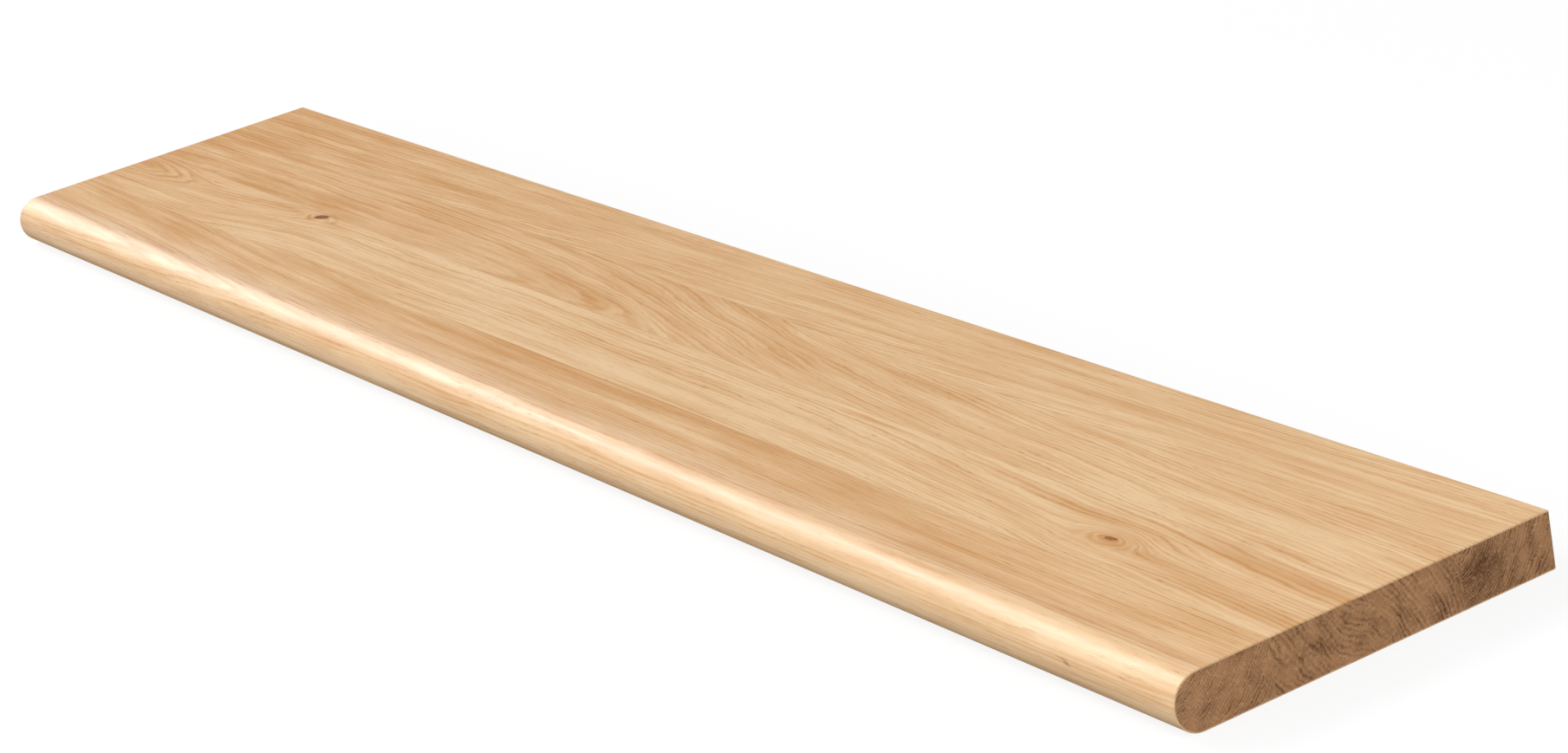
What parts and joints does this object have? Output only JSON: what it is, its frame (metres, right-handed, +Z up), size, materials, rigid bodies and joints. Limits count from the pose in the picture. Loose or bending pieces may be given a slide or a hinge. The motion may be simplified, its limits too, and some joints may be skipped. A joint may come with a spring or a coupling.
{
  "type": "stair tread",
  "caption": "Solid oak stair tread glued up from full-length staves, with a half-round nosing along the front edge and a satin clear finish.",
  "frame": {"origin": "centre of the underside, halfway along the length and halfway between the nosing and the back edge", "axes": "+X along the tread's length and the grain; -Y towards the nosing at the front, +Y towards the square back edge; +Z up out of the walking surface"},
  "size_m": [1.5, 0.26, 0.035],
  "materials": {
    "oak": "satin clear lacquer over planed and sanded oak; the sawn ends are bare end grain, darker and matt"
  },
  "bodies": {
    "root": {"nosing_stave": "oak", "second_stave": "oak", "third_stave": "oak", "back_stave": "oak"}
  },
  "joints": []
}
